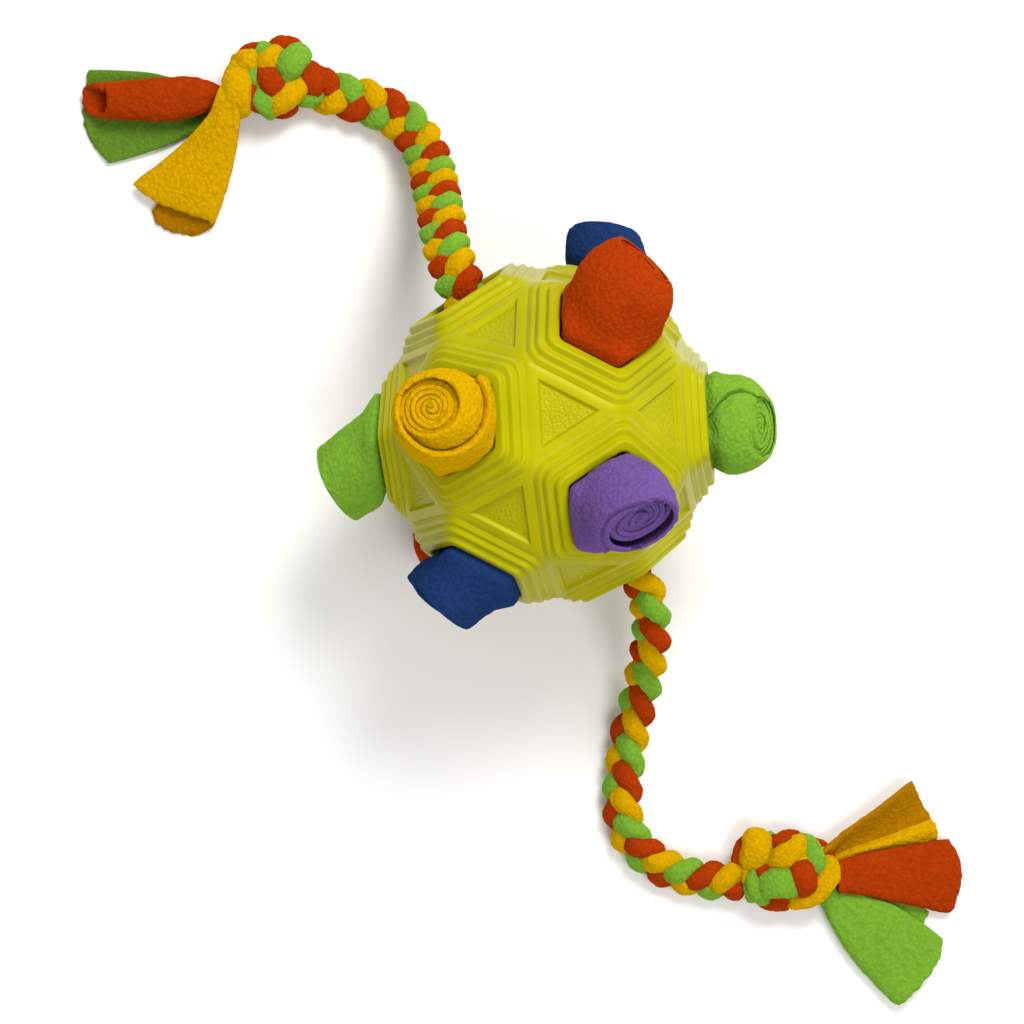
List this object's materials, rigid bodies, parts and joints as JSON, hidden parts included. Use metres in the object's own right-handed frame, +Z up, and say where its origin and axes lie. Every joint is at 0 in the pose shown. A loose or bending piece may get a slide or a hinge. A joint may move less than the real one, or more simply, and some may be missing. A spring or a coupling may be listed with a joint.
{
  "type": "dog snuffle ball with a rope",
  "caption": "Hollow rubber ball with five-sided holes stuffed with rolled fleece strips, and a braided fleece rope through it, knotted at both ends, for hiding treats and tugging.",
  "frame": {"origin": "on the floor that the ball lies on, under the middle of the ball and its rolls seen from above", "axes": "+Z up; +Y the way the rope's upper half leaves the ball, roughly; +X the way its lower half ends"},
  "size_m": [0.311, 0.3452, 0.1385],
  "materials": {
    "ball_rubber": "glossy",
    "yellow_fleece": "matte pile",
    "orange_fleece": "matte pile",
    "purple_fleece": "matte pile",
    "green_fleece": "matte pile",
    "blue_fleece": "matte pile",
    "braided_fleece": "matte pile, yellow, orange and green strands"
  },
  "bodies": {
    "root": {"ball_shell": "ball_rubber", "roll_yellow_top": "yellow_fleece", "roll_orange_top": "orange_fleece", "roll_purple_top": "purple_fleece", "roll_green_right": "green_fleece", "roll_blue_front": "blue_fleece", "roll_green_left": "green_fleece", "roll_blue_back": "blue_fleece", "roll_yellow_under": "yellow_fleece", "roll_orange_under": "orange_fleece", "roll_purple_under": "purple_fleece", "rope_upper": "braided_fleece", "rope_lower": "braided_fleece", "rope_inside": "braided_fleece", "knot_upper": "braided_fleece", "knot_lower": "braided_fleece", "tail_upper_yellow": "yellow_fleece", "tail_upper_orange": "orange_fleece", "tail_upper_green": "green_fleece", "tail_lower_yellow": "yellow_fleece", "tail_lower_orange": "orange_fleece", "tail_lower_green": "green_fleece"}
  },
  "joints": []
}
